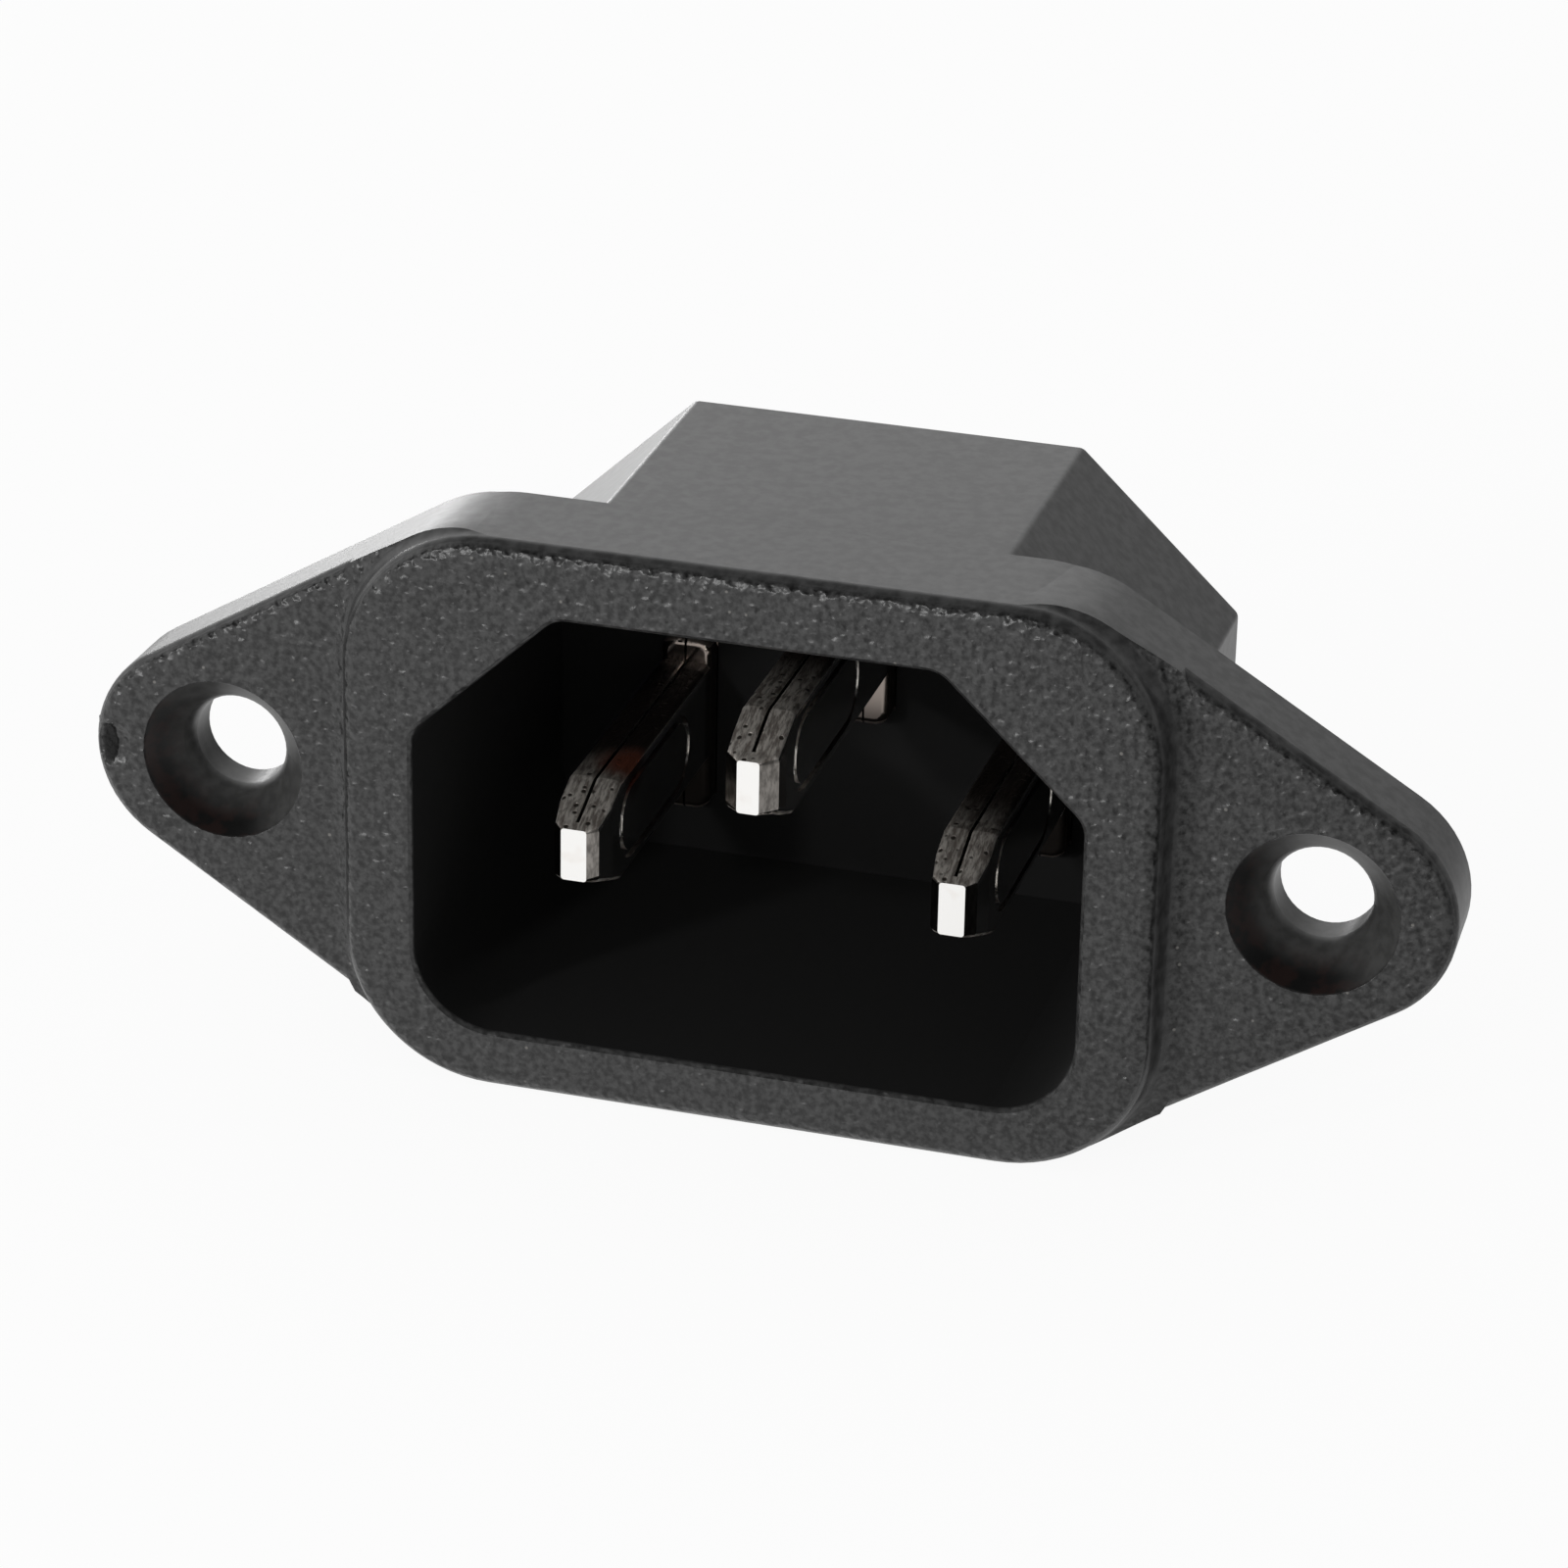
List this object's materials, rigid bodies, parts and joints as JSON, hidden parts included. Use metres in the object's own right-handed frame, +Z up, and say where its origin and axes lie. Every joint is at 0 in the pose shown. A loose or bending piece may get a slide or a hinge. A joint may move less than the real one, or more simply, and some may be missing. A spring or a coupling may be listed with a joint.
{
  "type": "screw-flange power inlet",
  "caption": "Black moulded panel inlet with a countersunk screw flange, a raised collar round a deep keyed mouth, and flat folded metal pins.",
  "frame": {"origin": "midway between the two screw holes, on the flange's rear face, which lies on the panel", "axes": "+X along the screw holes, to the right as seen from the front; +Y back into the panel, so the mouth opens towards -Y; +Z up, towards the mouth's cut corners"},
  "size_m": [0.0501, 0.0274, 0.0213],
  "materials": {
    "housing_plastic": "fine spark-eroded grain on the flange and collar, smooth body and countersinks",
    "pin_metal": "nickel-plated folded strip, slightly warm reflections"
  },
  "bodies": {
    "root": {"housing": "housing_plastic", "earth_pin": "pin_metal", "line_pin": "pin_metal", "neutral_pin": "pin_metal"}
  },
  "joints": []
}
